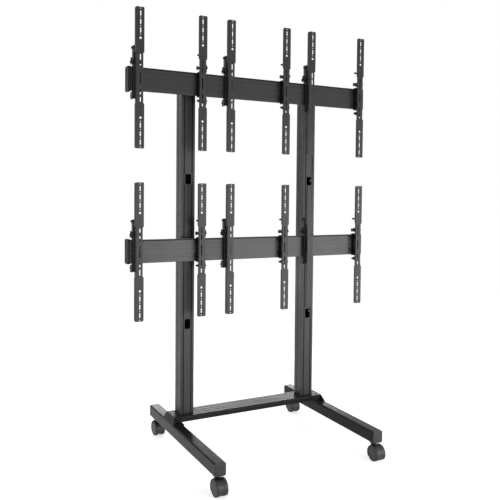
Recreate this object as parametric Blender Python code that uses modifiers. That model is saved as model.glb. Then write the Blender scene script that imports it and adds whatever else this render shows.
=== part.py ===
"""Video wall cart: two legs on casters, a cross beam, two columns, two rails and twelve display arms.

Metres, +Z up. The origin is on the floor at the middle of the footprint, the displays face -Y and +X is
to the right for someone who looks at them.
"""

import math

import bmesh
import bpy
from mathutils import Matrix, Vector

# General: the gap between neighbours, how far cutters run past, and how far joined shapes lap
gap = 0.0003
eps = 0.004
lap = 0.001

# Casters
wheelRadius = 0.0475
wheelWidth = 0.023
wheelRound = 0.004
wheelHub = 0.018
wheelDish = 0.003
wheelSteps = 16
axleRadius = 0.005
axleClearance = 0.0004
casterTrail = 0.030
casterInset = 0.0465
hoodClearance = 0.002
hoodWall = 0.0025
hoodDrop = 36
hoodSteps = 14
webWidth = 0.0165
webClearance = 0.0015
discRadius = 0.025
discHeight = 0.0085
discSides = 20
neckRadius = 0.016
neckHeight = 0.026
neckAboveHood = 0.0125
stemRadius = 0.0055
stemClearance = 0.0004
stemLength = 0.024

# Legs
legLength = 1.0937
legWidth = 0.0696
legHeight = 0.0748
legWall = 0.003
legCorner = 0.010
legSpacing = 1.071
legCapFlange = 0.006
legCapPlug = 0.022
legCapRound = 0.002
plugWall = 0.004
saddleMargin = 0.038
saddleHeight = 0.005
saddleChamfer = 0.018
wedgeTop = 0.003
wedgeInset = 0.002

# Cross beam
beamOverhang = 0.0135
beamHeight = 0.0374
beamSkin = 0.006
beamWall = 0.005
beamEndBlock = 0.060
beamLipRound = 0.007
beamGrooveWidth = 0.004
beamGrooveDepth = 0.0015
beamGrooves = (0.0426, 0.0028, -0.0312)
beamFrontMargin = 0.0285
beamRearMargin = 0.0105

# Columns
columnInset = 0.0823
columnSetBack = 0.1534
columnSize = 0.0925
columnWall = 0.0045
columnTop = 2.386
columnSlotWidth = 0.007
columnSlotDepth = 0.0025
columnSlotOffset = 0.0265
columnBandWidth = 0.026
columnBandDepth = 0.0015
columnTopPlate = 0.005
columnTopSink = 0.001
windowWidth = 0.038
windowHeight = 0.062
windowHeights = (0.810, 1.737)
windowFrameWidth = 0.008
windowFrameProud = 0.0025
windowFrameSink = 0.003

# Rails
railOverhang = 0.0626
railHeight = 0.1442
railDepth = 0.061
railBelowTop = 0.057
railSpacing = 1.0375
railGrooves = (0.045, 0.033, 0.0085, -0.025, -0.040)
railGrooveWidth = 0.0026
railGrooveDepth = 0.0014
railLip = 0.007
railChannelWidth = 0.010
railChannelDepth = 0.012
railRearDrop = 0.0095
railCellWall = 0.0035
railRib = 0.004
railCapThickness = 0.018
railCapLap = 0.0035
railCapPlug = 0.016
railCapCorner = 0.012
railCapRound = 0.003

# Display arms
armLength = 0.8364
armPairSpacing = 0.400
armPairGap = 0.2034
armSheet = 0.0025
extensionLength = 0.270
extensionInner = 0.0244
extensionOuter = 0.0309
extensionLip = 0.012
extensionFlange = 0.0198
channelInner = 0.0187
channelOuter = 0.0253
channelDepth = 0.030
channelLip = 0.012
channelOverlap = 0.068
channelLap = 0.00025
slotWidth = 0.007
slotCorner = 0.0021
slotPitch = 0.050
slotCount = 3
slotEndMargin = 0.0375
extensionSlotLength = 0.030
extensionHoleOffset = 0.087
extensionHoleLength = 0.0135
channelSlots = ((0.0, 0.070), (0.080, 0.034), (0.1235, 0.036))

# Rail hooks, measured from the rail's edges and from the arm's channel
hookSheet = 0.003
hookAboveRail = 0.124
hookBelowRail = 0.050
hookRailGap = 0.016
hookEdge = 0.012
hookBar = 0.006
hookStep = 0.001
hookFingerClearance = 0.001
hookInner = 0.014
hookChamfer = 0.012
hookWebInner = 0.009
hookTabHalf = 0.012
hookTabInner = 0.004
clampAboveRail = 0.1115
clampRadius = 0.006
clampHead = 0.008
clampHeadLap = 0.004
lockBelowRail = 0.0295
lockRadius = 0.006
lockKnobRadius = 0.0245
knobRadius = 0.0175
knobThickness = 0.0085
gripRadius = 0.013
gripTip = 0.0055
gripThickness = 0.028
rodSides = 10
sideReach = 0.009
innerReach = 0.006

# Height adjusters
adjusterAboveRail = 0.031
adjusterWebGap = 0.0042
adjusterShaft = 0.007
adjusterKnob = 0.0125
adjusterClearance = 0.0004
adjusterEar = 0.015
knobSides = 10

# Places and sizes that follow from the values above
hoodRadius = wheelRadius + hoodClearance + hoodWall
casterHeight = wheelRadius + hoodRadius + neckAboveHood
casterOverhang = hoodRadius + casterTrail - casterInset
legCentreY = casterOverhang / 2
saddleTop = casterHeight + legHeight + saddleHeight
beamBottom = saddleTop + gap
beamTop = beamBottom + beamHeight
beamLength = legSpacing + 2 * beamOverhang
beamDepth = beamFrontMargin + 2 * beamLipRound + columnSize + beamRearMargin
columnBottom = beamTop + gap
columnSpacing = legSpacing - 2 * columnInset
columnFrontY = legCentreY + columnSetBack
columnCentreY = columnFrontY + columnSize / 2
beamCentreY = columnFrontY + columnSize + beamRearMargin - beamDepth / 2
saddleLength = beamDepth + 2 * saddleMargin
armPitch = armPairSpacing + armPairGap
railLength = 2 * armPitch + armPairSpacing + 2 * railOverhang
railBackY = columnFrontY - gap
railFrontY = railBackY - railDepth
upperRailZ = columnTop - railBelowTop
railCentres = {"lower": upperRailZ - railSpacing, "upper": upperRailZ}
hookWeb = channelDepth + gap
hookStandOff = hookWeb + hookSheet + hookRailGap
hookTop = railHeight / 2 + hookAboveRail
hookBottom = -railHeight / 2 - hookBelowRail
plateInner = extensionOuter + gap
plateOuter = plateInner + hookSheet
adjusterDepth = hookWeb + hookSheet + adjusterWebGap + adjusterKnob
adjusterHeight = railHeight / 2 + adjusterAboveRail
hookRear = adjusterDepth + hookEdge


def clearScene():
    for item in list(bpy.data.objects):
        bpy.data.objects.remove(item, do_unlink=True)


def makeCollection(name):
    collection = bpy.data.collections.new(name)
    bpy.context.scene.collection.children.link(collection)
    return collection


def makeMaterial(name, colour, roughness, metallic):
    material = bpy.data.materials.new(name)
    material.use_nodes = True
    shader = material.node_tree.nodes["Principled BSDF"]
    shader.inputs["Base Color"].default_value = (*colour, 1.0)
    shader.inputs["Roughness"].default_value = roughness
    shader.inputs["Metallic"].default_value = metallic
    material.diffuse_color = (*colour, 1.0)
    return material


def makeObject(name, mesh, collection, location=(0, 0, 0), parent=None):
    item = bpy.data.objects.new(name, mesh)
    item.location = location
    item.parent = parent
    collection.objects.link(item)
    return item


def meshFrom(build):
    """A mesh with the closed shapes that build adds to an empty bmesh."""
    shape = bmesh.new()
    build(shape)
    bmesh.ops.recalc_face_normals(shape, faces=shape.faces)
    mesh = bpy.data.meshes.new("shape")
    shape.to_mesh(mesh)
    shape.free()
    return mesh


def addBox(shape, low, high):
    centre = (Vector(low) + Vector(high)) / 2
    size = Vector(high) - Vector(low)
    matrix = Matrix.Translation(centre) @ Matrix.Diagonal((*size, 1.0))
    bmesh.ops.create_cube(shape, size=1.0, matrix=matrix)


def addRod(shape, start, end, radius, sides=12, tip=None):
    """A cylinder between two points, or a cone when the end has a radius of its own."""
    line = Vector(end) - Vector(start)
    turn = line.to_track_quat("Z", "Y").to_matrix().to_4x4()
    bmesh.ops.create_cone(
        shape,
        cap_ends=True,
        segments=sides,
        radius1=radius,
        radius2=radius if tip is None else tip,
        depth=line.length,
        matrix=Matrix.Translation((Vector(start) + Vector(end)) / 2) @ turn,
    )


def boxMesh(low, high):
    return meshFrom(lambda shape: addBox(shape, low, high))


def rodMesh(start, end, radius, sides=12, tip=None):
    return meshFrom(lambda shape: addRod(shape, start, end, radius, sides, tip))


def hullMesh(points):
    """The closed solid that stretches over the points."""

    def wrap(shape):
        for point in points:
            shape.verts.new(point)
        bmesh.ops.convex_hull(shape, input=shape.verts)

    return meshFrom(wrap)


def outlineMesh(outlines, low, high, axis):
    """Closed flat outlines, the first one outside and the others holes, drawn out along an axis.

    The outline's two coordinates are (Y, Z) along X, (X, Z) along Y and (X, Y) along Z.
    """
    curve = bpy.data.curves.new("outline", "CURVE")
    curve.dimensions = "2D"
    curve.fill_mode = "BOTH"
    curve.extrude = (high - low) / 2
    for points in outlines:
        spline = curve.splines.new("POLY")
        spline.points.add(len(points) - 1)
        for point, (across, up) in zip(spline.points, points):
            point.co = (across, up, 0.0, 1.0)
        spline.use_cyclic_u = True
    turns = {
        "X": Matrix(((0, 0, 1, 0), (1, 0, 0, 0), (0, 1, 0, 0), (0, 0, 0, 1))),
        "Y": Matrix(((1, 0, 0, 0), (0, 0, -1, 0), (0, 1, 0, 0), (0, 0, 0, 1))),
        "Z": Matrix.Identity(4),
    }
    slides = {"X": (1, 0, 0), "Y": (0, 1, 0), "Z": (0, 0, 1)}
    guide = bpy.data.objects.new("outline", curve)
    bpy.context.scene.collection.objects.link(guide)
    guide.matrix_world = Matrix.Translation(Vector(slides[axis]) * (low + high) / 2) @ turns[axis]
    bpy.context.view_layer.update()
    evaluated = guide.evaluated_get(bpy.context.evaluated_depsgraph_get())
    mesh = bpy.data.meshes.new_from_object(evaluated)
    mesh.transform(guide.matrix_world)
    bpy.data.objects.remove(guide, do_unlink=True)
    shape = bmesh.new()
    shape.from_mesh(mesh)
    bmesh.ops.remove_doubles(shape, verts=shape.verts, dist=0.000001)
    bmesh.ops.recalc_face_normals(shape, faces=shape.faces)
    shape.to_mesh(mesh)
    shape.free()
    return mesh


def combined(base, others, operation):
    """The base mesh joined with, or cut by, each of the other meshes."""
    target = makeObject("target", base, cutterCollection)
    for mesh in others:
        tool = makeObject("tool", mesh, cutterCollection)
        tool.hide_render = True
        tool.display_type = "WIRE"
        change = target.modifiers.new("shape", "BOOLEAN")
        change.operation = operation
        change.solver = "EXACT"
        change.object = tool
        bpy.context.view_layer.update()
        evaluated = target.evaluated_get(bpy.context.evaluated_depsgraph_get())
        result = bpy.data.meshes.new_from_object(evaluated)
        target.modifiers.clear()
        target.data = result
        bpy.data.objects.remove(tool, do_unlink=True)
    result = target.data
    bpy.data.objects.remove(target, do_unlink=True)
    return result


def union(base, others):
    return combined(base, others, "UNION")


def cut(base, others):
    return combined(base, others, "DIFFERENCE")


def mirrored(mesh):
    copy = mesh.copy()
    copy.transform(Matrix.Scale(-1.0, 4, (1, 0, 0)))
    copy.flip_normals()
    return copy


def rounded(mesh, width, segments=1, sharpFrom=50):
    """The mesh with its sharp edges rounded off."""
    item = makeObject("rounded", mesh, cutterCollection)
    bevel = item.modifiers.new("edges", "BEVEL")
    bevel.width = width
    bevel.segments = segments
    bevel.limit_method = "ANGLE"
    bevel.angle_limit = math.radians(sharpFrom)
    bpy.context.view_layer.update()
    evaluated = item.evaluated_get(bpy.context.evaluated_depsgraph_get())
    result = bpy.data.meshes.new_from_object(evaluated)
    bpy.data.objects.remove(item, do_unlink=True)
    return result


def smooth(mesh, angle=35):
    mesh.shade_smooth()
    mesh.set_sharp_from_angle(angle=math.radians(angle))


def finish(name, mesh, material, location=(0, 0, 0), parent=None):
    mesh.materials.clear()
    mesh.materials.append(material)
    return makeObject(name, mesh, partCollection, location, parent)


def roundedRectangle(width, height, radius, steps=2, centre=(0, 0)):
    """The corner points of a rectangle with rounded corners, anticlockwise."""
    points = []
    for corner, (across, up) in enumerate(((1, 1), (-1, 1), (-1, -1), (1, -1))):
        for step in range(steps + 1):
            angle = math.pi / 2 * (corner + step / steps)
            points.append(
                (
                    centre[0] + across * (width / 2 - radius) + radius * math.cos(angle),
                    centre[1] + up * (height / 2 - radius) + radius * math.sin(angle),
                )
            )
    return points


def rectangle(left, bottom, right, top):
    return [(left, bottom), (right, bottom), (right, top), (left, top)]


def legMesh(inner):
    """A leg tube along Y about its own middle, bottom at 0, with the saddle and its sloped end."""
    middle = (0, legHeight / 2)
    half = legLength / 2 - legCapFlange - gap
    outside = roundedRectangle(legWidth, legHeight, legCorner, 2, middle)
    inside = roundedRectangle(
        legWidth - 2 * legWall, legHeight - 2 * legWall, legCorner - legWall, 1, middle
    )
    tube = outlineMesh([outside, inside], -half, half, "Y")
    centre = beamCentreY - legCentreY
    front = centre - saddleLength / 2
    rear = centre + saddleLength / 2
    side = legWidth / 2
    outer = -inner
    plate = outlineMesh(
        [
            [
                (inner * side, front),
                (inner * side, rear),
                (outer * (side - saddleChamfer), rear),
                (outer * side, rear - saddleChamfer),
                (outer * side, front + saddleChamfer),
                (outer * (side - saddleChamfer), front),
            ]
        ],
        legHeight - legWall / 2,
        legHeight + saddleHeight,
        "Z",
    )
    beamEnd = outer * (beamOverhang + gap)
    high = legHeight + saddleHeight + gap + beamHeight
    low = legHeight + saddleHeight - lap
    foot = (front + saddleChamfer, rear - saddleChamfer)
    head = (centre - beamDepth / 2 + beamLipRound, centre + beamDepth / 2)
    wedge = hullMesh(
        [(x, y, low) for x in (beamEnd, outer * (side - wedgeInset)) for y in foot]
        + [(x, y, high) for x in (beamEnd, beamEnd + outer * wedgeTop) for y in head]
    )
    holes = []
    for end in (-1, 1):
        spot = end * (legLength / 2 - casterInset)
        radius = stemRadius + stemClearance
        holes.append(rodMesh((0, spot, -eps), (0, spot, legWall + eps), radius))
    return cut(union(tube, [plate, wedge]), holes)


def legCapMesh():
    """An end cap: a flange over the tube's end, facing -Y, and a hollow plug inside it."""
    middle = (0, legHeight / 2)
    clear = legWall + gap
    flange = outlineMesh(
        [roundedRectangle(legWidth, legHeight, legCorner, 2, middle)], 0, legCapFlange, "Y"
    )
    plugOuter = roundedRectangle(
        legWidth - 2 * clear, legHeight - 2 * clear, legCorner - legWall, 1, middle
    )
    inset = clear + plugWall
    across = legWidth / 2 - inset
    plugInner = rectangle(-across, inset, across, legHeight - inset)
    plug = outlineMesh(
        [plugOuter, plugInner], legCapFlange - lap, legCapFlange + legCapPlug, "Y"
    )
    return union(rounded(flange, legCapRound), [plug])


def makeLegs():
    cap = legCapMesh()
    rearCap = cap.copy()
    rearCap.transform(Matrix.Rotation(math.pi, 4, "Z"))
    for side, sign in (("left", -1), ("right", 1)):
        place = Vector((sign * legSpacing / 2, legCentreY, casterHeight))
        leg = finish(f"leg_{side}", legMesh(-sign), paintedSteel, place)
        for end, mesh, direction in (("front", cap, -1), ("rear", rearCap, 1)):
            spot = (0, direction * legLength / 2, 0)
            finish(f"leg_cap_{side}_{end}", mesh, blackPlastic, spot, leg)
            makeCaster(f"{side}_{end}", leg, direction)


def hoodMesh():
    """The swivelling part of a caster, about its stem's axis at the leg's underside."""
    axle = Vector((0, -casterTrail, wheelRadius - casterHeight))
    half = webWidth / 2 + webClearance + wheelWidth
    innerRadius = wheelRadius + hoodClearance
    sweep = 180 + 2 * hoodDrop
    turns = [math.radians(sweep * step / hoodSteps - hoodDrop) for step in range(hoodSteps + 1)]

    def arc(radius):
        return [(axle.y + radius * math.cos(a), axle.z + radius * math.sin(a)) for a in turns]

    shell = outlineMesh([arc(hoodRadius) + arc(innerRadius)[::-1]], -half, half, "X")
    web = outlineMesh([arc(hoodRadius - hoodWall / 2)], -webWidth / 2, webWidth / 2, "X")
    disc = rodMesh((0, 0, -gap - discHeight), (0, 0, -gap), discRadius, discSides)
    neck = rodMesh((0, 0, -gap - neckHeight), (0, 0, -gap - lap), neckRadius)
    stem = rodMesh((0, 0, -gap - eps), (0, 0, legWall + stemLength), stemRadius)
    wheelSpace = meshFrom(
        lambda shape: [
            addRod(
                shape,
                (sign * (webWidth / 2), axle.y, axle.z),
                (sign * (half + eps), axle.y, axle.z),
                innerRadius,
                2 * hoodSteps,
            )
            for sign in (-1, 1)
        ]
    )
    bore = rodMesh(
        (-half, axle.y, axle.z), (half, axle.y, axle.z), axleRadius + axleClearance
    )
    body = union(cut(neck, [wheelSpace]), [shell, web, disc, stem])
    return cut(body, [bore])


def wheelMesh():
    """Both wheels of a caster and their axle, about the axle's middle, turned as one profile."""
    inner = webWidth / 2 + webClearance
    outer = inner + wheelWidth
    half = [
        (0.0, outer - wheelDish),
        (wheelHub, outer - wheelDish),
        (wheelHub + wheelDish, outer),
        (wheelRadius - wheelRound, outer),
        (wheelRadius, outer - wheelRound),
        (wheelRadius, inner + wheelRound),
        (wheelRadius - wheelRound, inner),
        (axleRadius, inner),
    ]
    profile = half + [(radius, -along) for radius, along in reversed(half)]
    mesh = bpy.data.meshes.new("profile")
    points = [(radius, 0.0, along) for radius, along in profile]
    mesh.from_pydata(points, [(i, i + 1) for i in range(len(points) - 1)], [])
    item = makeObject("profile", mesh, cutterCollection)
    turn = item.modifiers.new("turn", "SCREW")
    turn.steps = wheelSteps
    turn.render_steps = wheelSteps
    turn.use_merge_vertices = True
    turn.merge_threshold = 0.00001
    turn.use_normal_calculate = True
    bpy.context.view_layer.update()
    evaluated = item.evaluated_get(bpy.context.evaluated_depsgraph_get())
    result = bpy.data.meshes.new_from_object(evaluated)
    bpy.data.objects.remove(item, do_unlink=True)
    result.transform(Matrix.Rotation(math.pi / 2, 4, "Y"))
    return result


def makeCaster(name, leg, end):
    spot = (0, end * (legLength / 2 - casterInset), 0)
    hood = finish(f"caster_hood_{name}", casterShapes["hood"], blackPlastic, spot, leg)
    axle = (0, -casterTrail, wheelRadius - casterHeight)
    finish(f"caster_wheels_{name}", casterShapes["wheels"], wheelRubber, axle, hood)


def beamMesh():
    """The cross beam about its own middle, bottom at 0, open underneath between its end blocks."""
    front = -beamDepth / 2
    rear = beamDepth / 2
    lip = beamLipRound
    outline = [(rear, 0), (rear, beamHeight - lip / 2), (rear - lip / 2, beamHeight)]
    for middle in beamGrooves:
        outline += [
            (middle + beamGrooveWidth / 2, beamHeight),
            (middle + beamGrooveWidth / 2, beamHeight - beamGrooveDepth),
            (middle - beamGrooveWidth / 2, beamHeight - beamGrooveDepth),
            (middle - beamGrooveWidth / 2, beamHeight),
        ]
    for step in range(5):
        angle = math.pi / 2 + math.pi * step / 4
        along = front + lip + lip * math.cos(angle)
        outline.append((along, beamHeight - lip + lip * math.sin(angle)))
    outline += [(front + lip, beamHeight - 2 * lip), (front + lip, 0)]
    bar = outlineMesh([outline], -beamLength / 2, beamLength / 2, "X")
    pocket = boxMesh(
        (beamEndBlock - beamLength / 2, front + lip + beamWall, -eps),
        (beamLength / 2 - beamEndBlock, rear - beamWall, beamHeight - beamSkin),
    )
    return cut(bar, [pocket])


def columnMesh():
    """A hollow column about its own axis, bottom at 0, with front slots, side bands and framed windows."""
    half = columnSize / 2
    slot = columnSlotWidth / 2
    band = columnBandWidth / 2
    height = columnTop - columnBottom
    outline = []
    for middle in (-columnSlotOffset, columnSlotOffset):
        outline += [
            (middle - slot, -half),
            (middle - slot, -half + columnSlotDepth),
            (middle + slot, -half + columnSlotDepth),
            (middle + slot, -half),
        ]
    outline = [(-half, -half)] + outline + [(half, -half)]
    outline += [
        (half, -band),
        (half - columnBandDepth, -band),
        (half - columnBandDepth, band),
        (half, band),
        (half, half),
        (-half, half),
        (-half, band),
        (columnBandDepth - half, band),
        (columnBandDepth - half, -band),
        (-half, -band),
    ]
    inner = half - columnWall
    tube = outlineMesh([outline, rectangle(-inner, -inner, inner, inner)], 0, height, "Z")
    lid = boxMesh(
        (-inner - lap, -inner - lap, height - columnTopSink - columnTopPlate),
        (inner + lap, inner + lap, height - columnTopSink),
    )
    frames = []
    windows = []
    rim = windowFrameWidth
    for level in windowHeights:
        middle = level - columnBottom
        left, right = -windowWidth / 2, windowWidth / 2
        bottom, top = middle - windowHeight / 2, middle + windowHeight / 2
        frames.append(
            boxMesh(
                (left - rim, -half - windowFrameProud, bottom - rim),
                (right + rim, -half + windowFrameSink, top + rim),
            )
        )
        windows.append(
            boxMesh((left, -half - windowFrameProud - eps, bottom), (right, -inner + eps, top))
        )
    return cut(union(tube, [lid] + frames), windows)


def makeColumns():
    for side, sign in (("left", -1), ("right", 1)):
        place = (sign * columnSpacing / 2, columnCentreY, columnBottom)
        finish(f"column_{side}", columnMesh(), paintedAluminium, place)


def railCells():
    """The three hollow cells of a rail, as (bottom, top) heights about its middle."""
    top = railHeight / 2 - railChannelDepth - railRib
    third = (2 * top - 2 * railRib) / 3
    return [(-top + i * (third + railRib), -top + i * (third + railRib) + third) for i in range(3)]


def railMesh():
    """A rail along X: the outline is (depth from the front face, height about the middle)."""
    half = railHeight / 2
    channel = railLip + railChannelWidth
    body = half - railRearDrop
    outline = [(railDepth, -body), (railDepth, body), (channel, body)]
    outline += [(channel, half - railChannelDepth), (railLip, half - railChannelDepth)]
    outline += [(railLip, half), (0, half)]
    for level in railGrooves:
        outline += [
            (0, level + railGrooveWidth / 2),
            (railGrooveDepth, level + railGrooveWidth / 2),
            (railGrooveDepth, level - railGrooveWidth / 2),
            (0, level - railGrooveWidth / 2),
        ]
    outline += [(0, -half), (railLip, -half), (railLip, railChannelDepth - half)]
    outline += [(channel, railChannelDepth - half), (channel, -body)]
    cells = [
        rectangle(railCellWall, bottom, railDepth - railCellWall, top) for bottom, top in railCells()
    ]
    end = railLength / 2 - railCapThickness - gap
    return outlineMesh([outline] + cells, -end, end, "X")


def railCapMesh():
    """A rail's end cap on its -X end, about the rail's front face, with a plug in the middle cell."""
    middle = (railDepth / 2 - railCapLap / 2, 0)
    depth = railDepth + railCapLap
    height = railHeight + 2 * railCapLap
    outline = roundedRectangle(depth, height, railCapCorner, 2, middle)
    plate = outlineMesh([outline], 0, railCapThickness, "X")
    bottom, top = railCells()[1]
    inset = railCellWall + gap
    plug = boxMesh(
        (railCapThickness - lap, inset, bottom + gap),
        (railCapThickness + railCapPlug, railDepth - inset, top - gap),
    )
    return union(rounded(plate, railCapRound), [plug])


def slotMesh(height, length, width=slotWidth):
    """A cutter for an upright slot through the arm's webs, its round ends drawn as two slopes each."""
    side = width / 2
    end = length / 2
    corner = slotCorner
    points = [
        (side, height - end + corner),
        (side, height + end - corner),
        (0, height + end),
        (-side, height + end - corner),
        (-side, height - end + corner),
        (0, height - end),
    ]
    return outlineMesh([points], -eps, 2 * armSheet + eps, "Y")


def trough(inner, outer, front, innerDepth, outerDepth, low, high):
    """A sheet channel along Z: its web faces -Y, its inner edge is at +X and its outer edge at -X."""
    sheet = armSheet
    outline = [
        (inner, front),
        (inner, front + innerDepth),
        (inner - sheet, front + innerDepth),
        (inner - sheet, front + sheet),
        (sheet - outer, front + sheet),
        (sheet - outer, front + outerDepth),
        (-outer, front + outerDepth),
        (-outer, front),
    ]
    return outlineMesh([outline], low, high, "Z")


def armMesh():
    """A left-handed display arm about its slot line, front face at 0, rail height at 0."""
    reach = armLength / 2
    start = reach - extensionLength
    channelEnd = start + channelOverlap
    front = armSheet - channelLap
    depth = channelDepth - front
    arm = trough(channelInner, channelOuter, front, channelLip, depth, -channelEnd, channelEnd)
    extensions = [
        trough(extensionInner, extensionOuter, 0, extensionLip, extensionFlange, low, high)
        for low, high in ((start, reach), (-reach, -start))
    ]
    slots = []
    for sign in (-1, 1):
        for number in range(slotCount):
            height = reach - slotEndMargin - number * slotPitch
            slots.append(slotMesh(sign * height, extensionSlotLength))
        height = start + extensionHoleOffset
        slots.append(slotMesh(sign * height, extensionHoleLength, extensionHoleLength))
    for height, length in channelSlots:
        slots.append(slotMesh(height, length))
        if height:
            slots.append(slotMesh(-height, length))
    return cut(union(arm, extensions), slots)


def hookMesh():
    """A left-handed rail hook in the arm's frame: side plate, web, tabs, a hook at each rail edge."""
    edge = railHeight / 2 + gap
    fingerFront = hookStandOff + railLip + hookFingerClearance
    fingerRear = hookStandOff + railLip + railChannelWidth - hookFingerClearance
    fingerTip = edge - railChannelDepth + 2 * hookFingerClearance
    clearFace = hookStandOff - gap
    rear = hookRear
    lock = -railHeight / 2 - lockBelowRail
    side = [(hookWeb, hookBottom), (rear - hookChamfer, hookBottom), (rear, hookBottom + hookChamfer)]
    side += [(rear, -edge - hookStep), (clearFace, -edge - hookStep)]
    side += [(clearFace, edge + hookStep), (rear, edge + hookStep)]
    side += [(rear, hookTop - hookChamfer), (rear - hookChamfer, hookTop), (hookWeb, hookTop)]
    plate = outlineMesh([side], -plateOuter, -plateInner, "X")
    tabs = (
        (hookBottom + hookStep, hookTop - hookStep, -hookWebInner),
        (lock - hookTabHalf, lock + hookTabHalf, hookTabInner),
        (-edge - hookBar, edge + hookBar, hookInner),
        (adjusterHeight - hookTabHalf, adjusterHeight + hookTabHalf, hookTabInner),
    )
    pieces = [
        boxMesh((-plateInner - hookSheet / 2, hookWeb, low), (inner, hookWeb + hookSheet, high))
        for low, high, inner in tabs
    ]
    start = hookWeb + hookSheet / 2
    for sign in (-1, 1):
        bar = [
            (start, sign * edge),
            (fingerFront, sign * edge),
            (fingerFront, sign * fingerTip),
            (fingerRear, sign * fingerTip),
            (fingerRear, sign * (edge + hookBar)),
            (start, sign * (edge + hookBar)),
        ]
        pieces.append(outlineMesh([bar], hookStep / 2 - plateOuter, hookInner - hookStep, "X"))
    ear = boxMesh(
        (-hookInner / 2, start, adjusterHeight - adjusterEar),
        (hookSheet - hookInner / 2, rear, adjusterHeight + adjusterEar),
    )
    bore = rodMesh(
        (-plateOuter - eps, adjusterDepth, adjusterHeight),
        (hookInner, adjusterDepth, adjusterHeight),
        adjusterShaft + adjusterClearance,
    )
    return cut(union(plate, pieces + [ear] + hookRods()), [bore])


def hookRods():
    """The clamp screw with its head above the adjuster, and the lock's knob, bolt and grip below."""
    left = -plateOuter - sideReach
    right = hookInner + innerReach
    rods = (
        (left + clampHeadLap, right, clampAboveRail, clampRadius, clampRadius),
        (left, clampHeadLap - plateOuter, clampAboveRail, clampHead, clampHead),
        (left, left + knobThickness, -lockBelowRail, lockKnobRadius, lockKnobRadius),
        (left + lap, right - lap, -lockBelowRail, lockRadius, lockRadius),
        (right - gripThickness, right, -lockBelowRail, gripRadius, gripTip),
    )
    meshes = []
    for start, end, offset, radius, tip in rods:
        height = offset + math.copysign(railHeight / 2, offset)
        ends = [(along, adjusterDepth, height) for along in (start, end)]
        meshes.append(rodMesh(*ends, radius, rodSides, tip))
    return meshes


def adjusterMesh():
    """A left-handed height adjuster about its own axis, which runs along X: a knob at each end."""
    left = -plateOuter - sideReach
    right = hookInner + innerReach
    shaft = rodMesh((left + lap, 0, 0), (right - lap, 0, 0), adjusterShaft)
    outer = rodMesh((left, 0, 0), (left + knobThickness, 0, 0), knobRadius, knobSides)
    earFace = hookSheet - hookInner / 2 + gap
    inner = rodMesh((earFace, 0, 0), (right, 0, 0), adjusterKnob, knobSides)
    return union(shaft, [outer, inner])


def makeRailUnit(level, railShape, capShape, shapes):
    place = (0, railFrontY, railCentres[level])
    rail = finish(f"rail_{level}", railShape, brushedAluminium, place)
    rightCap = mirrored(capShape)
    end = railLength / 2
    for side, mesh, x in (("left", capShape, -end), ("right", rightCap, end)):
        finish(f"rail_cap_{level}_{side}", mesh, blackPlastic, (x, 0, 0), rail)
    columns = (-armPitch, 0, armPitch)
    for number, middle in enumerate(columns):
        for hand, sign in (("left", -1), ("right", 1)):
            name = f"{level}_{2 * number + (1 if hand == 'left' else 2)}"
            spot = (middle + sign * armPairSpacing / 2, -hookStandOff, 0)
            hook = finish(f"rail_hook_{name}", shapes["hook"][hand], blackSteel, spot, rail)
            finish(f"display_arm_{name}", shapes["arm"][hand], paintedSteel, (0, 0, 0), hook)
            axis = (0, adjusterDepth, adjusterHeight)
            finish(f"height_adjuster_{name}", shapes["adjuster"][hand], blackPlastic, axis, hook)


clearScene()
partCollection = makeCollection("video_wall_cart")
cutterCollection = makeCollection("cutters")

paintedSteel = makeMaterial("painted_steel", (0.075, 0.077, 0.08), 0.42, 0.0)
blackSteel = makeMaterial("black_steel", (0.012, 0.012, 0.013), 0.4, 0.0)
paintedAluminium = makeMaterial("painted_aluminium", (0.12, 0.12, 0.122), 0.45, 0.1)
brushedAluminium = makeMaterial("satin_anodised", (0.10, 0.10, 0.102), 0.4, 0.3)
blackPlastic = makeMaterial("black_plastic", (0.02, 0.02, 0.021), 0.5, 0.0)
wheelRubber = makeMaterial("wheel_rubber", (0.03, 0.03, 0.03), 0.65, 0.0)

casterShapes = {"hood": hoodMesh(), "wheels": wheelMesh()}
smooth(casterShapes["hood"])
smooth(casterShapes["wheels"])
makeLegs()
finish("cross_beam", beamMesh(), brushedAluminium, (0, beamCentreY, beamBottom))
makeColumns()
leftShapes = {"hook": hookMesh(), "arm": armMesh(), "adjuster": adjusterMesh()}
smooth(leftShapes["adjuster"])
handed = {key: {"left": mesh, "right": mirrored(mesh)} for key, mesh in leftShapes.items()}
for level in ("lower", "upper"):
    makeRailUnit(level, railMesh(), railCapMesh(), handed)
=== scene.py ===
import math

import bmesh
import bpy
from mathutils import Matrix, Vector


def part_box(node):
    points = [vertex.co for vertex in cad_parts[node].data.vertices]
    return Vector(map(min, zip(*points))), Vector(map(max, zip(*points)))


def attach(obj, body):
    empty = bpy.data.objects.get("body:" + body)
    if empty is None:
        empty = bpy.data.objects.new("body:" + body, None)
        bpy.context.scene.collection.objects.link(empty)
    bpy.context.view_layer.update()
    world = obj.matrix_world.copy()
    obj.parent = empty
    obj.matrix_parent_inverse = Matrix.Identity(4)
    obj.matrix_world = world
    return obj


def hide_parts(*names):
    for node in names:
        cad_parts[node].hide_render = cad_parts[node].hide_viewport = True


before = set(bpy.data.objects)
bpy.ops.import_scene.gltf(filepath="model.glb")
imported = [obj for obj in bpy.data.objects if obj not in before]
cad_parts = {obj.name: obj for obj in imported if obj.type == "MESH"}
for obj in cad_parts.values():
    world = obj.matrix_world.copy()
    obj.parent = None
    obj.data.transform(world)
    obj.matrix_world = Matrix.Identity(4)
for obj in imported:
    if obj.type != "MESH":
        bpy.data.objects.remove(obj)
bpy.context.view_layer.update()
print("the packed cart is loaded")

sides = (("left", -1), ("right", 1))
ends = (("front", -1), ("rear", 1))
levels = ("lower", "upper")
ahead, behind = Vector((0, -1, 0)), Vector((0, 1, 0))
right, up = Vector((1, 0, 0)), Vector((0, 0, 1))


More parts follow.
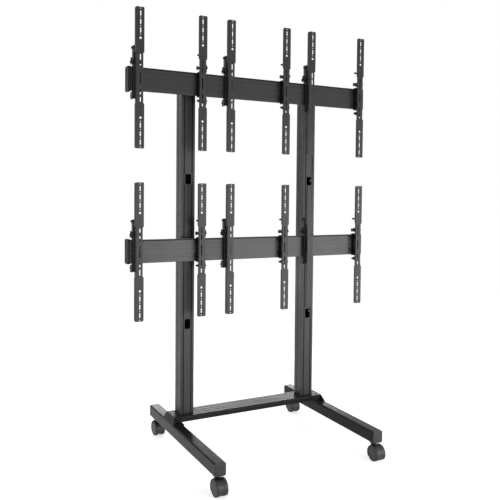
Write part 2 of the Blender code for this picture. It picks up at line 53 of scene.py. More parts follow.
# working by hand: picking pieces up, drawing, turning and cutting them


def putDown():
    if bpy.context.object and bpy.context.object.mode != "OBJECT":
        bpy.ops.object.mode_set(mode="OBJECT")
    bpy.ops.object.select_all(action="DESELECT")


def pickUp(*pieces):
    putDown()
    for piece in pieces:
        piece.select_set(True)
    bpy.context.view_layer.objects.active = pieces[0]


def named(name):
    piece = bpy.context.object
    piece.name = piece.data.name = name
    bpy.ops.object.transform_apply(location=True, rotation=True, scale=True)
    return piece


def addBlock(name, low, high):
    low, high = Vector(low), Vector(high)
    putDown()
    bpy.ops.mesh.primitive_cube_add(size=1, location=(low + high) / 2, scale=high - low)
    return named(name)


def addRod(name, start, end, radius, sides=32):
    start, end = Vector(start), Vector(end)
    turn = (end - start).to_track_quat("Z", "Y").to_euler()
    putDown()
    bpy.ops.mesh.primitive_cylinder_add(
        vertices=sides, radius=radius, depth=(end - start).length, location=(start + end) / 2, rotation=turn
    )
    return named(name)


def choose(piece, kind, test):
    # edit mode, with only the corners, edges or faces that pass the test selected
    pickUp(piece)
    bpy.ops.object.mode_set(mode="EDIT")
    bpy.ops.mesh.select_mode(type=kind)
    bpy.ops.mesh.select_all(action="DESELECT")
    mesh = bmesh.from_edit_mesh(piece.data)
    for item in {"VERT": mesh.verts, "EDGE": mesh.edges, "FACE": mesh.faces}[kind]:
        if test(item):
            item.select_set(True)
    mesh.select_flush_mode()
    bmesh.update_edit_mesh(piece.data)


def shifted(piece, test, step):
    # the corners that pass the test, moved by a step
    choose(piece, "VERT", lambda vertex: test(vertex.co))
    bpy.ops.transform.translate(value=step)
    bpy.ops.object.mode_set(mode="OBJECT")


def drawLine(name, corners, closed=False):
    # a corner drawn out from place to place, still in edit mode with everything selected
    corners = [Vector(corner) for corner in corners]
    if closed:
        corners.append(corners[0])
    putDown()
    bpy.ops.mesh.primitive_plane_add(size=0.001, location=corners[0])
    named(name)
    bpy.ops.object.mode_set(mode="EDIT")
    bpy.ops.mesh.select_mode(type="VERT")
    bpy.ops.mesh.select_all(action="SELECT")
    bpy.ops.mesh.merge(type="CENTER")
    for last, corner in zip(corners, corners[1:]):
        bpy.ops.mesh.extrude_region_move(TRANSFORM_OT_translate={"value": corner - last})
    bpy.ops.mesh.select_all(action="SELECT")
    bpy.ops.mesh.remove_doubles(threshold=0.000001)
    return bpy.context.object


def outwards():
    bpy.ops.mesh.select_mode(type="VERT")
    bpy.ops.mesh.select_all(action="SELECT")
    bpy.ops.mesh.remove_doubles(threshold=0.000001)
    bpy.ops.mesh.normals_make_consistent(inside=False)
    bpy.ops.object.mode_set(mode="OBJECT")


def drawSolid(name, axis, start, depth, outline):
    # a flat outline, drawn square to the axis at its start, and pulled out by the depth into a solid
    corners = [(*point[:axis], start, *point[axis:]) for point in outline]
    piece = drawLine(name, corners, closed=True)
    bpy.ops.mesh.edge_face_add()
    pull = depth * (right, behind, up)[axis]
    bpy.ops.mesh.extrude_region_move(TRANSFORM_OT_translate={"value": pull})
    outwards()
    return piece


def turned(name, profile, start, axis, steps=40):
    # a line of (radius, distance along the axis) turned once round the axis
    start, axis = Vector(start), Vector(axis)
    across = axis.orthogonal().normalized()
    piece = drawLine(name, [start + axis * along + across * radius for radius, along in profile])
    bpy.ops.mesh.spin(steps=steps, angle=math.tau, center=start, axis=axis)
    outwards()
    return piece


def change(piece, kind, **settings):
    pickUp(piece)
    modifier = piece.modifiers.new(kind, kind)
    for key, value in settings.items():
        setattr(modifier, key, value)
    bpy.ops.object.modifier_apply(modifier=modifier.name)
    return piece


def joined(name, *pieces):
    pickUp(*pieces)
    bpy.ops.object.join()
    piece = bpy.context.object
    piece.name = piece.data.name = name
    return piece


def cutAway(piece, *tools):
    tool = joined("cutter", *tools) if len(tools) > 1 else tools[0]
    change(piece, "BOOLEAN", operation="DIFFERENCE", solver="EXACT", use_self=len(tools) > 1, object=tool)
    bpy.data.objects.remove(tool, do_unlink=True)
    return piece


def softened(piece, width, segments=2, angle=40):
    # rounds the edges that are sharper than the angle
    return change(
        piece, "BEVEL", width=width, segments=segments, limit_method="ANGLE", angle_limit=math.radians(angle)
    )


def within(axis, level):
    # the test for edges that lie in the plane at this level of the axis
    return lambda edge: all(abs(corner.co[axis] - level) < 1e-5 for corner in edge.verts)


def roundEdges(piece, width, steps, test):
    choose(piece, "EDGE", test)
    bpy.ops.mesh.bevel(offset=width, segments=steps, affect="EDGES")
    outwards()
    return piece


def copied(piece, name, matrix):
    copy = piece.copy()
    copy.data = piece.data.copy()
    copy.name = copy.data.name = name
    bpy.context.scene.collection.objects.link(copy)
    copy.data.transform(matrix)
    if matrix.determinant() < 0:
        copy.data.flip_normals()
    return copy


def painted(piece, material):
    piece.data.materials.clear()
    piece.data.materials.append(material)
    return piece


def paintedPart(piece, material, test):
    # a second material on the faces whose middles pass the test, used here for the painted shade in slots and
    # grooves
    piece.data.materials.append(material)
    choose(piece, "FACE", lambda face: test(face.calc_center_median()))
    piece.active_material_index = len(piece.data.materials) - 1
    bpy.ops.object.material_slot_assign()
    bpy.ops.object.mode_set(mode="OBJECT")
    return piece


def discard(*pieces):
    for piece in pieces:
        bpy.data.objects.remove(piece, do_unlink=True)


def fit(piece, body, slot, *nodes, sharp=38):
    # the finished piece: smooth curves with flat flats, on its body, in place of its CAD nodes
    pickUp(piece)
    bpy.ops.object.shade_smooth_by_angle(angle=math.radians(sharp))
    change(piece, "WEIGHTED_NORMAL", keep_sharp=True, weight=80)
    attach(piece, body)
    if nodes:
        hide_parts(*nodes)
    return piece


def arc(x, z, radius, begin, end, steps):
    # points on an arc about (x, z), from one angle to another in quarter turns
    turns = [math.pi / 2 * (begin + (end - begin) * step / steps) for step in range(steps + 1)]
    return [(x + radius * math.cos(turn), z + radius * math.sin(turn)) for turn in turns]


def roundedRectangle(low, high, radius, steps=5):
    # the corner points, anticlockwise, of a rectangle with rounded corners
    points = []
    for corner, (across, rise) in enumerate(((1, 1), (-1, 1), (-1, -1), (1, -1))):
        x = (high[0] if across > 0 else low[0]) - across * radius
        z = (high[1] if rise > 0 else low[1]) - rise * radius
        points += arc(x, z, radius, corner, corner + 1, steps)
    return points


def addSlot(y, z, width, length=0):
    # a round hole's cutter along Y, or an upright slot's, whose two halves are pulled apart
    putDown()
    bpy.ops.mesh.primitive_cylinder_add(
        vertices=20, radius=width / 2, depth=0.02, location=(0, y, z), rotation=(math.pi / 2, math.pi / 20, 0)
    )
    piece = named("slot")
    if length > width:
        for sign in (-1, 1):
            shifted(piece, lambda place: (place.z - z) * sign > 0, (0, 0, sign * (length - width) / 2))
    return piece


# finishes


def tone(code):
    # an sRGB hex colour as the linear values that the shader wants
    channels = [int(code[start:start + 2], 16) / 255 for start in (1, 3, 5)]
    linear = [c / 12.92 if c <= 0.04045 else ((c + 0.055) / 1.055) ** 2.4 for c in channels]
    return (*linear, 1.0)


def addNode(tree, kind, inputs=None, **settings):
    node = tree.nodes.new("ShaderNode" + kind)
    for key, value in settings.items():
        setattr(node, key, value)
    for socket, value in (inputs or {}).items():
        if isinstance(value, bpy.types.NodeSocket):
            tree.links.new(value, node.inputs[socket])
        else:
            node.inputs[socket].default_value = value
    return node


def newMaterial(name):
    material = bpy.data.materials.new(name)
    material.use_nodes = True
    tree = material.node_tree
    return material, tree, tree.nodes["Principled BSDF"]


def patternPlace(tree, stretch=(1, 1, 1)):
    # object coordinates in metres, stretched along the grain
    place = addNode(tree, "TexCoord").outputs["Object"]
    return addNode(tree, "Mapping", {"Vector": place, "Scale": stretch}).outputs["Vector"]


def noise(tree, place, width, detail):
    # a cloud pattern whose drifts are about this wide, in metres
    return addNode(tree, "TexNoise", {"Vector": place, "Scale": 1 / width, "Detail": detail}).outputs["Fac"]


def blended(tree, value, low, high, dark, light):
    # two hex colours mixed by a pattern's value between its usual extremes
    spread = {"Value": value, "From Min": low, "From Max": high}
    share = addNode(tree, "MapRange", spread).outputs["Result"]
    pair = {"Factor": share, 6: tone(dark), 7: tone(light)}
    return addNode(tree, "Mix", pair, data_type="RGBA").outputs[2]


def dress(tree, shader, colour, cloud, roughness, relief, depth, specular):
    # the colour, a roughness (its least and most) that follows the cloud, a relief in the bump, and the gloss
    least, most = roughness
    spread = {"Value": cloud, "From Min": 0.3, "From Max": 0.7, "To Min": least, "To Max": most}
    rough = addNode(tree, "MapRange", spread).outputs["Result"]
    bump = addNode(tree, "Bump", {"Height": relief, "Strength": 1.0, "Distance": depth}).outputs["Normal"]
    tree.links.new(colour, shader.inputs["Base Color"])
    tree.links.new(rough, shader.inputs["Roughness"])
    tree.links.new(bump, shader.inputs["Normal"])
    shader.inputs["Specular IOR Level"].default_value = specular


def coated(name, dark, light, roughness, grain, depth, specular=0.5):
    # colour that drifts a little over the surface, and a fine grain in the roughness and the bump
    material, tree, shader = newMaterial(name)
    place = patternPlace(tree)
    drift, fine = noise(tree, place, 0.35, 3.0), noise(tree, place, grain, 2.0)
    colour = blended(tree, drift, 0.35, 0.65, dark, light)
    dress(tree, shader, colour, fine, (roughness - 0.04, roughness + 0.05), fine, depth, specular)
    return material


def drawn(name, dark, light, roughness, lineStep, depth, along, specular):
    # an extrusion: faint lines along its length from the die, under a satin layer
    material, tree, shader = newMaterial(name)
    stretch = [1.0, 1.0, 1.0]
    stretch[along] = 0.004
    lines = noise(tree, patternPlace(tree, stretch), lineStep, 3.0)
    drift = noise(tree, patternPlace(tree), 0.3, 2.0)
    colour = blended(tree, lines, 0.3, 0.7, dark, light)
    dress(tree, shader, colour, drift, (roughness - 0.05, roughness + 0.05), lines, depth, specular)
    return material


# After its name and two colours, a coat has its roughness, the width and depth of its grain in metres, and
# its gloss, and a drawn finish also has the axis that its lines follow.
# Polyester powder sprayed on steel and baked: an even satin skin with a faint orange peel. The real peel is
# 1 to 2 mm wide, drawn here at 6 mm so that it shows.
powderCoatedSteel = coated("powder coated steel", "#222222", "#292929", 0.42, 0.006, 0.00006, 0.35)
# The same powder on the legs, blacker and a little glossier.
powderCoatedLeg = coated("powder coated leg steel", "#121212", "#181818", 0.25, 0.006, 0.00002, 0.10)
# The same powder on the hooks, without gloss.
powderCoatedHook = coated("powder coated hook steel", "#181818", "#202020", 0.44, 0.006, 0.00005, 0.32)
# Powder on the extruded columns, slightly lighter and smoother than on the steel.
powderCoatedAluminium = drawn("powder coated aluminium", "#272727", "#2f2f2f", 0.42, 0.004, 0.00002, 2, 0.35)
# Dyed black by anodising: the metal's die lines still show as fine streaks along the rail. The real lines are
# 0.3 mm apart, drawn at 3 mm.
anodisedAluminium = drawn("anodised aluminium", "#1c1c1c", "#262626", 0.34, 0.003, 0.00003, 0, 0.42)
# The beam is dyed deeper than the rails.
anodisedBeam = drawn("anodised beam aluminium", "#1a1a1a", "#222222", 0.30, 0.003, 0.00001, 0, 0.12)
# Glass-filled nylon from a spark-eroded mould: matt with a fine grain, 0.4 mm in reality and drawn at 3 mm.
mouldedNylon = coated("moulded nylon", "#141414", "#1b1b1b", 0.48, 0.003, 0.00008)
# The same nylon, unpolished, for the rails' caps.
roughNylon = coated("rough moulded nylon", "#0e0e0e", "#141414", 0.52, 0.003, 0.00010, 0.22)
# Cast polyurethane tyre: duller than the nylon, with a scuffed running surface.
castPolyurethane = coated("cast polyurethane", "#1c1c1c", "#272727", 0.62, 0.005, 0.00006)
# Painted shade: near black and matt, without lines, on the faces in the slots and grooves, for the shade in
# them.
paintedSlotShade = coated("painted slot shade", "#040404", "#080808", 0.6, 0.003, 0.00002, 0.2)
# Zinc plated and clear passivated steel: cool pale metal with fine cloudy spangle.
zincPlatedSteel = coated("zinc plated steel", "#9b9d9e", "#b4b6b7", 0.34, 0.004, 0.00002)
zincPlatedSteel.node_tree.nodes["Principled BSDF"].inputs["Metallic"].default_value = 1.0
# Screws oiled after black oxide: dark and slightly glossy.
blackOxideSteel = coated("black oxide steel", "#1a1a1a", "#242424", 0.3, 0.004, 0.00002)
print("finishes mixed")


# small hardware, modelled once about its own middle and copied

screw = {"radius": 0.0045, "height": 0.0035, "hex": 0.0028, "hexDepth": 0.002}


def makeSocketScrew():
    # a flat head that faces -Y, its face at y = 0
    radius, height = screw["radius"], screw["height"]
    profile = [(0, 0), (radius - 0.0004, 0), (radius, 0.0004), (radius * 0.6, height), (0, height)]
    head = turned("socketScrew", profile, (0, 0, 0), behind, 24)
    socket = addRod("socket", (0, -0.001, 0), (0, screw["hexDepth"], 0), screw["hex"], 6)
    return painted(cutAway(head, socket), blackOxideSteel)


socketScrew = makeSocketScrew()


def screwAt(place, towards=ahead):
    turn = towards.rotation_difference(ahead).inverted().to_matrix().to_4x4()
    return copied(socketScrew, "socketScrew", Matrix.Translation(Vector(place)) @ turn)


# legs: a square tube with a welded saddle plate that carries the beam

leg = {
    "wall": 0.003,
    "corner": 0.010,
    "height": 0.0748,
    "saddleHeight": 0.005,
    "saddleChamfer": 0.018,
    "saddle": (0.09065, 0.31215),
    "beamEnd": 0.0138,
    "wedgeInset": 0.002,
    "wedgeTop": 0.003,
    "wedgeHead": (0.13565, 0.27415),
    "weldRadius": 0.0019,
    "weldStep": 0.0026,
    "weldSeam": 0.0006,
    "weldEnds": (0.006, 0.004),
    "sideSeam": -0.0016,
    "stemHole": 0.0059,
    "stems": (-0.4826, 0.5181),
}


def makeWeld(start, end):
    # one drop of weld repeated along the seam
    start, end = Vector(start), Vector(end)
    line = end - start
    count = int(line.length / leg["weldStep"])
    putDown()
    bpy.ops.mesh.primitive_uv_sphere_add(segments=10, ring_count=6, radius=leg["weldRadius"], location=start)
    drop = named("weld")
    evenly = {"use_relative_offset": False, "use_constant_offset": True}
    change(drop, "ARRAY", count=count + 1, constant_offset_displace=line / count, **evenly)
    return painted(drop, powderCoatedLeg)


def makeLeg(side, sign):
    low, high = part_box(f"leg_{side}")
    top = low.z + leg["height"]
    saddleTop = top + leg["saddleHeight"]
    middle = (low.x + high.x) / 2
    outline = roundedRectangle((low.x, low.z), (high.x, top), leg["corner"])
    name = f"legTube{side.title()}"
    tube = drawSolid(name, 1, low.y, high.y - low.y, outline)
    choose(tube, "FACE", lambda face: abs(face.normal.y) > 0.9)
    bpy.ops.mesh.delete(type="ONLY_FACE")
    bpy.ops.object.mode_set(mode="OBJECT")
    change(tube, "SOLIDIFY", thickness=leg["wall"], offset=-1, use_rim=True)
    floor = (low.z - 0.01, low.z + 0.01)
    holes = [addRod("hole", *[(middle, y, z) for z in floor], leg["stemHole"]) for y in leg["stems"]]
    painted(cutAway(tube, *holes), powderCoatedLeg)
    inner, outer = (high.x, low.x) if sign < 0 else (low.x, high.x)
    front, rear = leg["saddle"]
    cut = leg["saddleChamfer"]
    shoulder = outer - sign * cut
    corners = [(inner, front), (inner, rear), (shoulder, rear), (outer, rear - cut), (outer, front + cut)]
    plate = drawSolid("saddle", 2, top - 0.001, saddleTop - top + 0.001, corners + [(shoulder, front)])
    painted(softened(plate, 0.0012, 3), powderCoatedLeg)
    # the sloped plate that closes the beam's end: a block whose outer and end faces lean in
    beamEnd, foot = middle + sign * leg["beamEnd"], outer - sign * leg["wedgeInset"]
    wedge = addBlock(
        "wedge",
        (min(beamEnd, foot), front + cut, saddleTop - 0.001),
        (max(beamEnd, foot), rear - cut, high.z),
    )
    head = leg["wedgeHead"]
    for test, step in (
        (lambda place: (place.x - beamEnd) * sign > 0.005, (beamEnd + sign * leg["wedgeTop"] - foot, 0, 0)),
        (lambda place: place.y < front + cut + 0.001, (0, head[0] - front - cut, 0)),
        (lambda place: place.y > rear - cut - 0.001, (0, head[1] - rear + cut, 0)),
    ):
        shifted(wedge, lambda place: place.z > high.z - 0.001 and test(place), step)
    painted(softened(wedge, 0.0009, 2, 15), powderCoatedLeg)
    # welds across the leg, just outside the saddle's ends, and along its two sides
    out, bead, welds = leg["weldSeam"], sign * leg["weldRadius"], []
    across, along = leg["weldEnds"]
    for y in (front - out, rear + out):
        welds.append(makeWeld((inner + sign * across, y, top + out), (shoulder, y, top + out)))
    for x, short in ((outer - bead, cut), (inner + bead, along)):
        z = top + leg["sideSeam"]
        welds.append(makeWeld((x, front + short, z), (x, rear - short, z)))
    return joined(name, tube, plate, wedge, *welds)


for side, sign in sides:
    fit(makeLeg(side, sign), "frame", "painted_steel", f"leg_{side}")
print("legs welded")


# leg end caps: a pushed-in nylon cap with a crowned face

legCap = {
    "flange": 0.006,
    "corner": 0.010,
    "rim": 0.0042,
    "crown": 0.0008,
    "crownSteps": ((0.86, 0.6), (0.8, 0.3), (0.6, 0.1)),
    "plugInset": 0.0033,
    "plugLength": 0.0218,
    "plugWall": 0.004,
    "plugCorner": 0.003,
}


def makeLegCap(side, end, sign):
    low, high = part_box(f"leg_cap_{side}_{end}")
    face = low.y if sign < 0 else high.y
    outline = roundedRectangle((low.x, low.z), (high.x, high.z), legCap["corner"])
    thick = legCap["flange"] - legCap["crown"]
    back = face - sign * legCap["flange"]
    cap = drawSolid("cap", 1, back, sign * thick, outline)
    frontY = back + sign * thick
    roundEdges(cap, legCap["rim"], 4, within(1, frontY))
    middle = Vector(((low.x + high.x) / 2, frontY, (low.z + high.z) / 2))
    for scale, rise in legCap["crownSteps"]:
        choose(cap, "FACE", lambda face: face.normal.y * sign > 0.999 and face.calc_area() > 0.00001)
        step = (0, sign * rise * legCap["crown"], 0)
        bpy.ops.mesh.extrude_region_move(TRANSFORM_OT_translate={"value": step})
        bpy.ops.transform.resize(value=(scale, 1, scale), center_override=middle)
    outwards()
    inset, wall = legCap["plugInset"], legCap["plugWall"]
    plugEnd = back - sign * legCap["plugLength"]
    plugLow, plugHigh = (low.x + inset, low.z + inset), (high.x - inset, high.z - inset)
    outline = roundedRectangle(plugLow, plugHigh, legCap["plugCorner"], 3)
    plug = drawSolid("plug", 1, back, plugEnd - back, outline)
    hollow = addBlock(
        "hollow",
        (plugLow[0] + wall, min(back, plugEnd) - (0.002 if sign > 0 else -0.0005), plugLow[1] + wall),
        (plugHigh[0] - wall, max(back, plugEnd) + (0.002 if sign < 0 else -0.0005), plugHigh[1] - wall),
    )
    cutAway(plug, hollow)
    return painted(joined(f"legCap{side.title()}{end.title()}", cap, plug), mouldedNylon)


for side, _ in sides:
    for end, sign in ends:
        fit(makeLegCap(side, end, sign), "frame", "black_plastic", f"leg_cap_{side}_{end}")
print("leg caps pushed in")


# cross beam: an extrusion with three grooves on top and a round lip along the front

beam = {
    "lip": 0.007,
    "grooves": (0.2440, 0.2042, 0.1702),
    "grooveWidth": 0.004,
    "grooveDepth": 0.0015,
    "skin": 0.006,
    "wall": 0.005,
    "endBlock": 0.060,
    "rearRound": 0.0035,
    "endPlate": 0.002,
    "endInset": 0.0006,
    "endTop": 0.0022,
}


def makeBeam():
    low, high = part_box("cross_beam")
    lip = beam["lip"]
    rear = beam["rearRound"]
    outline = [(high.y, low.z)] + arc(high.y - rear, high.z - rear, rear, 0, 1, 4)
    for middle in beam["grooves"]:
        half, deep = beam["grooveWidth"] / 2, high.z - beam["grooveDepth"]
        outline += [(middle + half, high.z), (middle + half * 0.8, deep), (middle - half * 0.8, deep)]
        outline += [(middle - half, high.z)]
    outline += arc(low.y + lip, high.z - lip, lip, 1, 3, 12) + [(low.y + lip, low.z)]
    plate = beam["endPlate"]
    bar = drawSolid("crossBeam", 0, low.x + plate, high.x - low.x - 2 * plate, outline)
    pocket = addBlock(
        "pocket",
        (low.x + beam["endBlock"], low.y + lip + beam["wall"], low.z - 0.01),
        (high.x - beam["endBlock"], high.y - beam["wall"], high.z - beam["skin"]),
    )
    painted(softened(cutAway(bar, pocket), 0.0004, 1, 50), anodisedBeam)

    def inGroove(place):
        near = any(abs(place.y - y) < beam["grooveWidth"] / 2 + 0.0002 for y in beam["grooves"])
        return near and high.z - beam["grooveDepth"] - 0.0004 < place.z < high.z - 0.0003

    # painted shade: the grooves' floors and walls are coloured near black for the shade in them
    paintedPart(bar, paintedSlotShade, inGroove)
    shells = [bar]
    inset, top = beam["endInset"], high.z - beam["endTop"]
    front = low.y + lip + inset
    cover = [(front, low.z + inset), (high.y - inset, low.z + inset), (high.y - inset, high.z - rear)]
    cover += [(high.y - rear, top), (front, top)]
    for sign, x in ((-1, low.x), (1, high.x)):
        end = drawSolid("endPlate", 0, x, -sign * plate * 1.5, cover)
        shells.append(painted(softened(end, 0.0006, 2), mouldedNylon))
    return joined("crossBeam", *shells)


fit(makeBeam(), "frame", "satin_aluminium", "cross_beam")
print("beam extruded")


# columns: a square extrusion with slots in front, banded sides with holes, and framed cable windows

column = {
    "wall": 0.0045,
    "slot": 0.007,
    "slotDepth": 0.0025,
    "slotAt": 0.0265,
    "band": 0.026,
    "bandDepth": 0.0015,
    "bandSlope": 0.0008,
    "corner": 0.0016,
    "holeRadius": 0.0045,
    "holeStep": 0.0775,
    "holeFirst": 0.272,
    "holeCount": 27,
    "lidThick": 0.005,
    "lidSink": 0.001,
    "lidOver": 0.001,
    "lidPanel": 0.010,
    "lidPanelDepth": 0.0008,
    "lidRim": 0.0008,
}
window = {
    "heights": (0.810, 1.737),
    "width": 0.038,
    "height": 0.062,
    "rim": 0.008,
    "corner": 0.004,
    "screwAt": 0.037,
    "depth": 0.0062,
    "edge": 0.0016,
}


def windowOutline(x, level, rim=0, rounder=0):
    wide, tall = window["width"] / 2 + rim, window["height"] / 2 + rim
    return roundedRectangle((x - wide, level - tall), (x + wide, level + tall), window["corner"] + rounder)


def makeColumn(side):
    nodeLow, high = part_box(f"column_{side}")
    half = (high.x - nodeLow.x) / 2
    centre = Vector(((nodeLow.x + high.x) / 2, high.y - half, 0))
    low = nodeLow.z
    slot, band, slope = column["slot"] / 2, column["band"] / 2, column["bandSlope"]
    deep, corner, step = column["slotDepth"], column["corner"], half - column["bandDepth"]

    def slots(face, inward):
        points, floor = [], face + inward * deep
        for middle in (-column["slotAt"], column["slotAt"]):
            near, far = middle - slot, middle + slot
            points += [(near, face), (near, floor), (far, floor), (far, face)]
        return points

    frontFace = slots(-half, 1)
    rearFace = [(-x, y) for x, y in slots(half, -1)]
    outline = [(corner - half, -half)] + frontFace + [(half - corner, -half), (half, corner - half)]
    outline += [(half, -band), (step, slope - band), (step, band - slope), (half, band)]
    outline += [(half, half - corner), (half - corner, half)] + rearFace + [(corner - half, half)]
    outline += [(-half, half - corner), (-half, band), (-step, band - slope)]
    outline += [(-step, slope - band), (-half, -band), (-half, corner - half)]
    name = f"column{side.title()}"
    tube = drawSolid(name, 2, low, high.z - low, [(centre.x + x, centre.y + y) for x, y in outline])
    inside = half - column["wall"]
    duct = addBlock(
        "duct",
        (centre.x - inside, centre.y - inside, low - 0.01),
        (centre.x + inside, centre.y + inside, high.z + 0.01),
    )
    softened(cutAway(tube, duct), 0.0005, 1, 50)
    holes = []
    for number in range(column["holeCount"]):
        z = column["holeFirst"] + number * column["holeStep"]
        start = (centre.x - half - 0.01, centre.y, z)
        holes.append(addRod("hole", start, (centre.x + half + 0.01, centre.y, z), column["holeRadius"], 20))
    for level in window["heights"]:
        holes.append(drawSolid("opening", 1, nodeLow.y - 0.01, 0.03, windowOutline(centre.x, level)))
    cutAway(tube, *holes)
    painted(tube, powderCoatedAluminium)

    def inSlot(place):
        near = abs(abs(place.x - centre.x) - column["slotAt"]) < slot + 0.0003
        return near and half - deep - 0.0006 < abs(place.y - centre.y) < half - 0.0007

    # painted shade: the slots' floors and walls are coloured near black for the shade in them
    paintedPart(tube, paintedSlotShade, inSlot)
    shells = [tube]
    lidTop, over = high.z - column["lidSink"], inside + column["lidOver"]
    lid = addBlock(
        "lid",
        (centre.x - over, centre.y - over, lidTop - column["lidThick"]),
        (centre.x + over, centre.y + over, lidTop),
    )
    roundEdges(lid, column["lidRim"], 2, within(2, lidTop))
    choose(lid, "FACE", lambda face: face.normal.z > 0.9)
    bpy.ops.mesh.inset(thickness=column["lidPanel"], depth=0)
    bpy.ops.mesh.inset(thickness=0.0012, depth=-column["lidPanelDepth"])
    outwards()
    shells.append(painted(lid, mouldedNylon))
    for level in window["heights"]:
        shells.append(makeWindowFrame(centre.x, nodeLow.y, level))
        for rise in (-1, 1):
            shells.append(screwAt((centre.x, nodeLow.y + 0.0001, level + rise * window["screwAt"])))
    return joined(name, *shells)


def makeWindowFrame(x, face, level):
    # a moulded frame with a rounded front edge, let into the column's front
    ring = drawSolid("windowFrame", 1, face, window["depth"], windowOutline(x, level, window["rim"], 0.002))
    cutAway(ring, drawSolid("windowHole", 1, face - 0.01, 0.03, windowOutline(x, level)))
    roundEdges(ring, window["edge"], 3, within(1, face))
    return painted(ring, mouldedNylon)


for side, _ in sides:
    fit(makeColumn(side), "frame", "painted_aluminium", f"column_{side}")
print("columns stand")


# rails: one extrusion each, grooved in front and channelled above and below for the hooks

rail = {
    "grooves": (0.0650, 0.045, 0.033, 0.0085, -0.025, -0.040),
    "grooveWidth": 0.0026,
    "grooveDepth": 0.0014,
    "topGroove": (0.0650, 0.0054, 0.0036),  # its height, width and depth
    "rearDrop": 0.0095,
    "lip": 0.007,
    "channelWidth": 0.010,
    "channelDepth": 0.012,
    "edge": 0.0012,
}
railCap = {
    "thick": 0.018,
    "corner": 0.012,
    "rim": 0.0028,
    "panel": 0.009,
    "panelDepth": 0.0008,
    "screws": 0.046,
    "screwHole": 0.0049,
    "innerRim": 0.0008,
}


def makeRail(level):
    low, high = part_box(f"rail_{level}")
    middle, half = (low.z + high.z) / 2, (high.z - low.z) / 2
    lip, groove = rail["lip"], rail["grooveWidth"] / 2
    channel = lip + rail["channelWidth"]
    edge = rail["edge"]
    depth = high.y - low.y
    body = half - rail["rearDrop"]
    floor = half - rail["channelDepth"]
    top = [(depth - edge, body), (channel, body), (channel, floor), (lip, floor), (lip, half - 0.0004)]
    top += [(lip - 0.0004, half), (edge, half), (edge * 0.3, half - edge * 0.3), (0, half - edge)]
    outline = [(depth, body - edge)] + top
    wide = rail["topGroove"]
    for height in rail["grooves"]:
        across, deep = (wide[1] / 2, wide[2]) if height == wide[0] else (groove, rail["grooveDepth"])
        outline += [(0, height + across), (deep, height + across * 0.8)]
        outline += [(deep, height - across * 0.8), (0, height - across)]
    outline += [(across, -rise) for across, rise in reversed(top)] + [(depth, edge - body)]
    outline = [(low.y + y, middle + z) for y, z in outline]
    piece = drawSolid(f"rail{level.title()}", 0, low.x, high.x - low.x, outline)
    painted(piece, anodisedAluminium)

    def inTopGroove(place):
        near = abs(place.z - middle - wide[0]) < wide[1] / 2 + 0.0002
        return near and low.y + 0.0005 < place.y < low.y + wide[2] + 0.0002

    # painted shade: the top groove is coloured near black for the shade in it
    return paintedPart(piece, paintedSlotShade, inTopGroove)


def makeRailCap(level, side, sign):
    low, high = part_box(f"rail_cap_{level}_{side}")
    face = low.x if sign < 0 else high.x
    thick = railCap["thick"]
    outline = roundedRectangle((low.y, low.z), (high.y, high.z), railCap["corner"], 8)
    cap = drawSolid("cap", 0, face, -sign * thick, outline)
    roundEdges(cap, railCap["rim"], 4, within(0, face))
    roundEdges(cap, railCap["innerRim"], 2, within(0, face - sign * thick))
    choose(cap, "FACE", lambda item: item.normal.x * sign > 0.999)
    bpy.ops.mesh.inset(thickness=railCap["panel"], depth=0)
    bpy.ops.mesh.inset(thickness=0.001, depth=-railCap["panelDepth"])
    outwards()
    middle = Vector((face, (low.y + high.y) / 2, (low.z + high.z) / 2))
    spots = [middle + Vector((0, 0, rise * railCap["screws"])) for rise in (-1, 1)]
    wide, deep = railCap["screwHole"], right * 0.004
    holes = [addRod("hole", spot + deep, spot - deep, wide, 24) for spot in spots]
    painted(cutAway(cap, *holes), roughNylon)
    sunk = right * sign * (railCap["panelDepth"] + 0.0004)
    screws = [screwAt(spot - sunk, right * sign) for spot in spots]
    return joined(f"railCap{level.title()}{side.title()}", cap, *screws)


for level in levels:
    fit(makeRail(level), f"{level}_rail", "satin_aluminium", f"rail_{level}")
    for side, sign in sides:
        fit(makeRailCap(level, side, sign), f"{level}_rail", "black_plastic", f"rail_cap_{level}_{side}")
print("rails hang on the columns")


# display arms: a slotted channel with a wider one over each end, left-handed about the slot line

arm = {
    "reach": 0.4182,
    "sheet": 0.0025,
    "bend": 0.0035,
    "extensionStart": 0.1482,
    "extensionInner": 0.0244,
    "extensionOuter": 0.0309,
    "extensionLip": 0.012,
    "extensionFlange": 0.0198,
    "extensionChamfer": 0.006,
    "channelInner": 0.0187,
    "channelOuter": 0.0253,
    "channelFront": 0.00225,
    "channelLip": 0.012,
    "channelDepth": 0.030,
    "channelEnd": 0.2162,
    "slotWidth": 0.007,
    "extensionSlots": (0.3807, 0.3307, 0.2807),
    "extensionSlotLength": 0.030,
    "roundHole": 0.2352,
    "roundHoleWidth": 0.0135,
    "smallHoles": (0.3557, 0.3057, 0.2562, 0.4092),
    "smallHoleWidth": 0.006,
    "channelSlots": ((0, 0.070), (0.080, 0.034), (-0.080, 0.034), (0.1235, 0.036), (-0.1235, 0.036)),
    "screws": (0.1677, 0.2017),
}


def bentOutline(inner, outer, front, innerDepth, outerDepth):
    # the section of a bent sheet: its web faces -Y, with a round bend at each side
    sheet, bend = arm["sheet"], arm["bend"]
    first, last = (inner - bend, front + bend), (bend - outer, front + bend)
    points = [(inner, front + innerDepth), (inner - sheet, front + innerDepth)]
    points += arc(*first, bend - sheet, 0, -1, 3) + arc(*last, bend - sheet, -1, -2, 3)
    points += [(sheet - outer, front + outerDepth), (-outer, front + outerDepth)]
    return points + arc(*last, bend, 2, 3, 3) + arc(*first, bend, 3, 4, 3)


